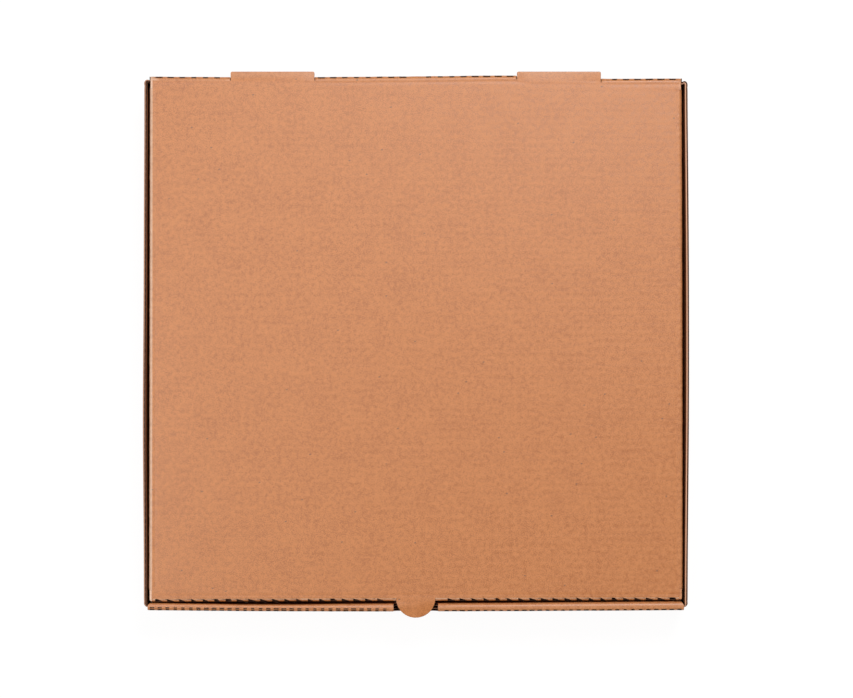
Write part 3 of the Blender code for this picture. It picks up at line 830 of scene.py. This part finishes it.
def lean_tray(place, on_side, on_rear, on_hem):
    """Push the folded tray's walls slightly out of true, from their feet up.

    What lies on the hem is given as a share, which rises across the strip on top of the front wall.
    """
    x = place[:, 0]
    rise = place[:, 2] / WALL_TOP
    bowed = ease(rise / BOW_RISE_SHARE)
    shares = x / (BOX_WIDTH / 2)
    in_front = place[:, 1] < MIDDLE - BOX_DEPTH / 2 + FRONT_REACH
    front_bow = FRONT_BOW * (1 - shares ** 2).clip(0.0) * (1 - FRONT_BOW_LEAN_SHARE * shares)
    dent = HEM_DENT * np.exp(-((x + LUG_OFFSET) / HEM_DENT_SPREAD) ** 2)
    hem = (HEM_SKEW * shares - HEM_SLIDE - dent) * bowed
    near_rear = ease(1 - (REAR_FACE - place[:, 1]) / REAR_BULGE_FADE)
    slide = np.where(in_front, (FRONT_LEAN - front_bow) * bowed, 0.0) + on_hem * hem
    slide += np.where(on_rear, 1.0, near_rear) * bulge(x) * rise
    past_lid = ease((abs(x) - LID_WIDTH / 2) / CORNER_BULGE_SPAN)
    slide += np.where(on_side, near_rear * past_lid, 0.0) * np.where(x < 0, *CORNER_BULGES) * rise

    def either(pair):
        return np.where(x < 0, *pair)

    away = (place[:, 1] - MIDDLE) / (BOX_DEPTH / 2) - either(SIDE_BOW_PEAK_SHARES)
    side_bow = np.cos(QUARTER * (away / either(SIDE_BOW_SPREAD_SHARES)).clip(-1.0, 1.0)) ** 2
    place[:, 0] += np.where(on_side, np.sign(x) * either(SIDE_BOWS) * side_bow * bowed, 0.0)
    place[:, 1] += slide


def on_thumb(x, y):
    """Whether points of the lid's blank lie on the thumb tab."""
    return np.hypot(x, y - THUMB_MIDDLE) < THUMB_RADIUS + KNIFE_CUT / 2


def fold_lid(flat):
    """Places, outward directions, board thickness and marks of points of the lid's flat board."""
    side = np.where(flat[:, 0] < 0, -1.0, 1.0)
    x = abs(flat[:, 0])
    y = flat[:, 1]
    thumb = on_thumb(x, y)
    on_tab = (x > TAB_INNER - KERF / 2) & (x < TAB_OUTER + KERF / 2)
    beside = (y > SIDE_TUCK_INSET - KNIFE_CUT / 2) & (y < LID_DEPTH - SIDE_TUCK_INSET + KNIFE_CUT / 2)
    on_side = (x > PANEL_SIDE) & beside
    on_rear = (y < PANEL_REAR) & ~on_tab & ~on_side
    on_front = (y > PANEL_FRONT) & (x < PANEL_SIDE - KNIFE_CUT / 2) & ~thumb & ~on_side
    past = np.select([on_side, on_rear, on_front], [x - PANEL_SIDE, PANEL_REAR - y, y - PANEL_FRONT], 0.0)
    out, drop, turn = walk(LID_ROUTE, past)
    across = np.where(on_side, PANEL_SIDE + out, x)
    along = np.select([on_rear, on_front], [PANEL_REAR - out, PANEL_FRONT + out], y)
    place = np.stack([side * across, REAR_FACE - along, BOX_HEIGHT - BOARD / 2 - drop], 1)
    lean = np.select([on_side, on_rear, on_front], [side, 1.0 + 0 * x, -1.0 + 0 * x], 0.0) * np.sin(turn)
    outward = np.stack([np.where(on_side, lean, 0.0), np.where(on_side, 0.0, lean), np.cos(turn)], 1)
    lean_lid(place, y, (along / LID_DEPTH).clip(0.0, 1.0), thumb, on_tab)
    creases = bends(LID_ROUTE)
    sides = closeness(np.where(beside, x - PANEL_SIDE, FAR_AWAY), creases)
    rears = closeness(np.where(on_tab, FAR_AWAY, PANEL_REAR - y), creases)
    fronts = closeness(np.where(thumb, FAR_AWAY, y - PANEL_FRONT), creases)
    marks = [np.maximum.reduce(group) for group in zip(sides, rears, fronts)]
    # A fold is pale only over the part of its turn that faces up, the left side far more than the right:
    # painted highlight, as well as stretched liner
    band_end = np.where(on_front, PALE_FRONT_TURN_END, PALE_TURN_END)
    highlit_turn_band = ease(turn / PALE_TURN) * (1 - ease((turn - band_end) / PALE_TURN))
    ear_band = np.where((x > PANEL_SIDE) & ~beside, ease((x - PANEL_SIDE) / EAR_PALE_WIDTH), 0.0)
    side_pale_and_highlight_band = np.maximum(sides[0] * highlit_turn_band, ear_band) * np.where(side < 0, *PALE_AND_HIGHLIGHT_SIDE_SHARES)
    # The rear tabs are paler towards their ends: painted highlight
    tab_highlight_band = TAB_HIGHLIGHT_SHARE * np.where(on_tab, ease((PANEL_REAR - y) / REAR_TAB_REACH), 0.0)
    front_pale_and_highlight_band = PALE_FRONT_SHARE * fronts[0] * highlit_turn_band
    pale = np.maximum.reduce([side_pale_and_highlight_band, front_pale_and_highlight_band, tab_highlight_band, PALE_REAR_SHARE * rears[0]])
    return place, outward, np.full(len(x), BOARD), *marks, pale


def lean_lid(place, y, forward, thumb, on_tab):
    """Push the folded lid slightly out of true, more towards its front, and let its thumb tab droop."""
    shares = place[:, 0] / (LID_WIDTH / 2)
    past_front = ease((y - PANEL_FRONT) / (THUMB_TIP - PANEL_FRONT))
    slide = LID_SLIDE * forward * np.where(thumb, 1 - (1 - THUMB_SLIDE_SHARE) * past_front, 1.0)
    near_crease = ease(1 - (y - PANEL_REAR) / REAR_BULGE_FADE)
    near_crease *= np.where(on_tab, ease((y + REAR_TAB_REACH) / (PANEL_REAR + REAR_TAB_REACH)), 1.0)
    place[:, 1] += LID_SKEW * shares * forward - slide + bulge(place[:, 0]) * near_crease
    place[:, 0] += LID_FLARE * shares * (forward - 1 / 2)
    place[:, 0] += LID_BOW * shares.clip(0.0) * 4 * forward * (1 - forward)
    place[:, 2] -= np.where(thumb, THUMB_DROOP * past_front ** 2, 0.0)


def wave_at(along):
    """The medium's wave, from -1 at the inner liner to 1 at the outer liner."""
    return np.cos(2 * math.pi * along / FLUTE_PITCH)


def outer_liner(wave, thickness, marks):
    """Outer and inner face of the outer liner, measured outwards from the board's middle."""
    crease, shoulder, edge, lip = marks
    pressed = SHOULDER_DEPTH * shoulder * (1 - crease)
    top = thickness / 2 - LINER_SAG * (1 - wave) / 2 - pressed - EDGE_PINCH * edge
    return top, top - LINER - LIP_THICKNESS * (-lip).clip(0.0)


def inner_liner(wave, thickness, marks):
    """Outer and inner face of the inner liner."""
    crease, shoulder, edge, lip = marks
    pressed = SHOULDER_DEPTH / 2 * shoulder * (1 - crease)
    low = -thickness / 2 + LINER_SAG * (1 + wave) / 2 + pressed + EDGE_PINCH * edge
    return low + LINER + LIP_THICKNESS * lip.clip(0.0), low


def medium(wave, thickness, marks):
    """Outer and inner face of the wavy medium, crushed where the board is creased."""
    crease, shoulder, edge, _ = marks
    room = thickness / 2 - LINER - MEDIUM / 2 - EDGE_PINCH * edge - SHOULDER_DEPTH * shoulder
    middle = room * wave * (1 - (1 - CRUSHED_FLUTE_SHARE) * crease)
    return middle + MEDIUM / 2, middle - MEDIUM / 2


def ply_faces(board, ply):
    """Faces of a board in one ply: the medium is set back from cut edges, and the outer liner is slit."""
    if ply is medium:
        return [face for face in board["faces"] if not any(board["edge"][corner] for corner in face)]
    if ply is outer_liner:
        return [face for face, slit in zip(board["faces"], board["slit"]) if not slit]
    return board["faces"]


def open_sides(faces):
    """Sides of faces that no other face shares."""
    sides = dict.fromkeys(pair for face in faces for pair in zip(face, face[1:] + face[:1]))
    return [(a, b) for a, b in sides if (b, a) not in sides]


def stray(across, along, crease):
    """How far the board strays outwards, as its creases wander and its panels are slightly warped."""
    wander = CREASE_WANDER * crease * ripple(across + along, WANDER_WAVES)
    warp = ripple(across, WARP_ACROSS_WAVES) * ripple(along, WARP_ALONG_WAVES)
    return wander + PANEL_WARP * (1 - crease) * warp


def note(mesh, name, domain, values):
    """Give a mesh an attribute for its finish, a number or a vector for each point or face."""
    kind, field = ("FLOAT", "value") if values.ndim == 1 else ("FLOAT_VECTOR", "vector")
    mesh.attributes.new(name, kind, domain).data.foreach_set(field, values.astype(np.float32).ravel())


def add_ply(name, board, fold, ply, layer):
    """Fold one ply of a board into a piece, with its cut edges and the marks that its finish reads."""
    across = board["flat"][:, 0]
    along = board["flat"][:, 1] + board["start"]
    place, outward, thickness, crease, shoulder, pale = fold(board["flat"])
    surfaces = ply(wave_at(along), thickness, (crease, shoulder, board["edge"], board["lip"]))
    off = stray(across, along, crease)
    points = np.concatenate([place + outward * (surface + off)[:, None] for surface in surfaces])
    # The bottom lies flat on what it stands on
    points[:, 2] = points[:, 2].clip(0.0)
    faces = ply_faces(board, ply)
    rims = open_sides(faces)
    count = len(across)
    polygons = [tuple(reversed(face)) for face in faces]
    polygons += [tuple(corner + count for corner in face) for face in faces]
    polygons += [(b + count, a + count, a, b) for a, b in rims]
    used = np.unique(np.concatenate([np.array(polygon) for polygon in polygons]))
    renumber = np.zeros(2 * count, int)
    renumber[used] = np.arange(len(used))
    polygons = [tuple(renumber[list(polygon)].tolist()) for polygon in polygons]
    mesh = bpy.data.meshes.new(name)
    mesh.from_pydata(points[used].tolist(), [], polygons)
    on_board = used % count
    blank = np.stack([across, along, np.full(count, layer * PLY_PATTERN_STEP)], 1)
    raw_rims = board["edge"][np.array(rims)].min(axis=1)
    note(mesh, "blank", "POINT", blank[on_board])
    note(mesh, "pale", "POINT", pale[on_board])
    note(mesh, "raw_edge", "POINT", board["edge"][on_board])
    rim_marks = np.where(raw_rims > 0, RAW_RIM, SLIT_RIM)
    note(mesh, "cut", "FACE", np.concatenate([np.zeros(2 * len(faces)), rim_marks]))
    mesh.shade_smooth()
    mesh.set_sharp_from_angle(angle=SMOOTH_ANGLE)
    piece = bpy.data.objects.new(name, mesh)
    bpy.context.scene.collection.objects.link(piece)
    return piece


def node(tree, kind, inputs=(), **settings):
    """A new node, its inputs linked to sockets or set to values."""
    made = tree.nodes.new("ShaderNode" + kind)
    for name, value in settings.items():
        setattr(made, name, value)
    for key, value in dict(inputs).items():
        if isinstance(value, bpy.types.NodeSocket):
            tree.links.new(value, made.inputs[key])
        else:
            made.inputs[key].default_value = value
    return made


def kraft(name, pale, dark, raw_left, raw_right, roughness):
    """Kraft paper: clouded and flecked, with crossing fibres, faint flute lines, and paler creases that are
    partly stretched liner and partly painted highlight.

    Its cut edges have their own colours on the left and on the right, which are painted light and shade:
    edges that the lamps light are brown or pale, edges in shade are painted black, and the insides of slits
    are painted dark as shade.
    """
    material = bpy.data.materials.new(name)
    material.use_nodes = True
    tree = material.node_tree
    shader = tree.nodes["Principled BSDF"]

    def read(attribute, output="Fac"):
        return node(tree, "Attribute", attribute_name=attribute).outputs[output]

    def maths(operation, a, b=0.0, c=0.0):
        return node(tree, "Math", {0: a, 1: b, 2: c}, operation=operation).outputs[0]

    def mix(share, low, high):
        return node(tree, "Mix", {0: share, 6: low, 7: high}, data_type="RGBA").outputs[2]

    def noise(vector, scale, detail, rough):
        inputs = {"Vector": vector, "Scale": scale, "Detail": detail, "Roughness": rough}
        return node(tree, "TexNoise", inputs).outputs["Fac"]

    def stretched(scale, angle):
        turned = node(tree, "Mapping", {"Vector": blank, "Rotation": (0, 0, angle)}).outputs[0]
        return node(tree, "Mapping", {"Vector": turned, "Scale": scale}).outputs[0]

    def remap(value, low, high, out_low=0.0, out_high=1.0):
        inputs = {"Value": value, "From Min": low, "From Max": high, "To Min": out_low, "To Max": out_high}
        return node(tree, "MapRange", inputs).outputs[0]

    blank = read("blank", "Vector")
    across, along, _ = node(tree, "SeparateXYZ", {0: blank}).outputs
    cut = read("cut")

    cloud = noise(blank, *CLOUD)
    mottle = noise(blank, *MOTTLE)
    grain = noise(blank, *GRAIN)
    fibres = maths("MAXIMUM", *(noise(stretched(FIBRE_STRETCH, angle), *FIBRES) for angle in FIBRE_ANGLES))
    lines = maths("COSINE", maths("MULTIPLY", along, 2 * math.pi / FLUTE_PITCH))
    counted = (
        (cloud, CLOUD_SHARE),
        (mottle, MOTTLE_SHARE),
        (grain, GRAIN_SHARE),
        (fibres, FIBRE_SHARE),
        (lines, FLUTE_LINE_SHARE),
    )
    tone = TONE_START
    for unevenness, share in counted:
        tone = maths("MULTIPLY_ADD", unevenness, share, tone)
    paper = mix(remap(tone, *TONE_RANGE), dark, pale)

    spots = {"Vector": stretched(FLECK_STRETCH, FLECK_ANGLE), "Scale": FLECK_SCALE}
    cells = node(tree, "TexVoronoi", spots, voronoi_dimensions="2D").outputs
    chosen = node(tree, "SeparateXYZ", {0: cells["Color"]}).outputs[0]
    fleck = maths("MULTIPLY", remap(cells["Distance"], *FLECK_EDGE), remap(chosen, *FLECK_CHANCE))
    flecked = mix(maths("MULTIPLY", fleck, FLECK_STRENGTH), paper, FLECK_COLOUR)
    # Folds, ears and rear tabs made paler: stretched liner at the creases, and painted highlight
    creased_and_highlit = mix(maths("MULTIPLY", read("pale"), remap(mottle, *PATCHES)), flecked, PALE_AND_HIGHLIGHT_COLOUR)

    raw = maths("MAXIMUM", maths("POWER", read("raw_edge"), EDGE_FALL), remap(cut, 0.0, RAW_RIM))
    raw = maths("MULTIPLY", raw, remap(grain, *PATCHES))
    # Raw edges take one colour on the left and another on the right: painted light and shade, as the lamps
    # light the box from one side
    raw_colour = mix(remap(across, -SIDE_CHANGE, SIDE_CHANGE), raw_left, raw_right)
    # The cut faces inside slits are painted dark: painted shade
    raw_colour = mix(remap(cut, RAW_RIM, SLIT_RIM), raw_colour, SLIT_SHADE_COLOUR)
    tree.links.new(mix(raw, creased_and_highlit, raw_colour), shader.inputs["Base Color"])

    relief = maths("MULTIPLY_ADD", fibres, BUMP_FIBRE_SHARE, maths("MULTIPLY", grain, BUMP_GRAIN_SHARE))
    bump = node(tree, "Bump", {"Height": relief, "Strength": BUMP_STRENGTH, "Distance": BUMP_DEPTH})
    tree.links.new(bump.outputs[0], shader.inputs["Normal"])
    rough = remap(mottle, *GLOSS_PATCHES, roughness - SMOOTHER, roughness + ROUGHER)
    tree.links.new(maths("MAXIMUM", rough, raw), shader.inputs["Roughness"])
    shader.inputs["Specular IOR Level"].default_value = SPECULAR
    return material


def add_ground():
    """A white ground that keeps the box's shadow."""
    bpy.ops.mesh.primitive_plane_add(size=GROUND_SIZE, location=(0.0, 0.0, 0.0))
    ground = bpy.context.object
    ground.name = "ground"
    material = bpy.data.materials.new("white_ground")
    material.use_nodes = True
    tree = material.node_tree
    shader = tree.nodes["Principled BSDF"]
    shader.inputs["Base Color"].default_value = GROUND_COLOUR
    shader.inputs["Roughness"].default_value = GROUND_ROUGHNESS
    shader.inputs["Specular IOR Level"].default_value = 0.0
    rays = node(tree, "LightPath").outputs
    seen = node(tree, "Math", {0: rays["Is Camera Ray"], 1: rays["Is Glossy Ray"]}, operation="MAXIMUM")
    share = node(tree, "Math", {0: seen.outputs[0], 1: GROUND_GLOW_SHARE}, operation="MULTIPLY")
    glow = node(tree, "Emission", {"Color": WHITE, "Strength": GROUND_GLOW})
    total = node(tree, "MixShader", {0: share.outputs[0], 1: shader.outputs[0], 2: glow.outputs[0]})
    tree.links.new(total.outputs[0], tree.nodes["Material Output"].inputs["Surface"])
    ground.data.materials.append(material)


def add_sky():
    """A sky that lights the box dimly and is seen white."""
    world = bpy.context.scene.world or bpy.data.worlds.new("studio")
    bpy.context.scene.world = world
    world.use_nodes = True
    tree = world.node_tree
    tree.nodes.clear()
    rays = node(tree, "LightPath").outputs
    strength = node(tree, "Mix", {0: rays["Is Camera Ray"], 2: SKY_LIGHT, 3: SKY_SEEN})
    sky = node(tree, "Background", {"Color": WHITE, "Strength": strength.outputs[0]})
    tree.links.new(sky.outputs[0], node(tree, "OutputWorld").inputs["Surface"])


def add_lamp(name, place, size, watts, colour):
    """A square soft box that points at the middle of the box's foot."""
    lamp = bpy.data.lights.new(name, "AREA")
    lamp.shape = "SQUARE"
    lamp.size = size
    lamp.energy = watts
    lamp.color = colour
    thing = bpy.data.objects.new(name, lamp)
    thing.location = place
    thing.rotation_euler = (-thing.location).to_track_quat("-Z", "Y").to_euler()
    bpy.context.scene.collection.objects.link(thing)


def add_camera():
    """A camera that looks straight down, from where the picture shows the box at its true scale."""
    lens = bpy.data.cameras.new("camera")
    lens.lens = LENS
    lens.sensor_width = SENSOR
    lens.clip_end = VIEW_END
    camera = bpy.data.objects.new("camera", lens)
    across = (FRAME_WIDTH / 2 - MIDDLE_PIXEL[0]) * PIXEL_SIZE
    along = (MIDDLE_PIXEL[1] - FRAME_HEIGHT / 2) * PIXEL_SIZE
    distance = FRAME_WIDTH * PIXEL_SIZE / SENSOR * LENS
    camera.location = (across, along, BOX_HEIGHT + distance)
    bpy.context.scene.collection.objects.link(camera)
    bpy.context.scene.camera = camera


def main():
    outer = kraft("kraft_outer", *OUTER_LOOK)
    inner = kraft("kraft_inner", *INNER_LOOK)
    wavy = kraft("kraft_medium", *MEDIUM_SHADED_LOOK)
    boards = {
        "tray": (tray_board(), fold_tray),
        "lid": (lid_board(), fold_lid),
        "crease": (crease_board(), fold_lid),
    }
    # Each ply's name, shape, depth below the outside, and finish
    plies = (
        ("outer_liner", outer_liner, 0.0, outer),
        ("inner_liner", inner_liner, BOARD - LINER, inner),
        ("medium", medium, BOARD / 2, wavy),
    )
    for place, (board, fold) in boards.items():
        for layer, (title, ply, depth, finish) in enumerate(plies):
            piece = add_ply(f"{place}_{title}", board, fold, ply, layer)
            piece.data.materials.append(finish)
            if place == "crease":
                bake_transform(piece)
            else:
                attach(piece, place)
                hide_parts(place)
    add_ground()
    add_sky()
    for lamp in LAMPS:
        add_lamp(*lamp)
    add_camera()
    bpy.context.scene.view_settings.view_transform = "Standard"


main()
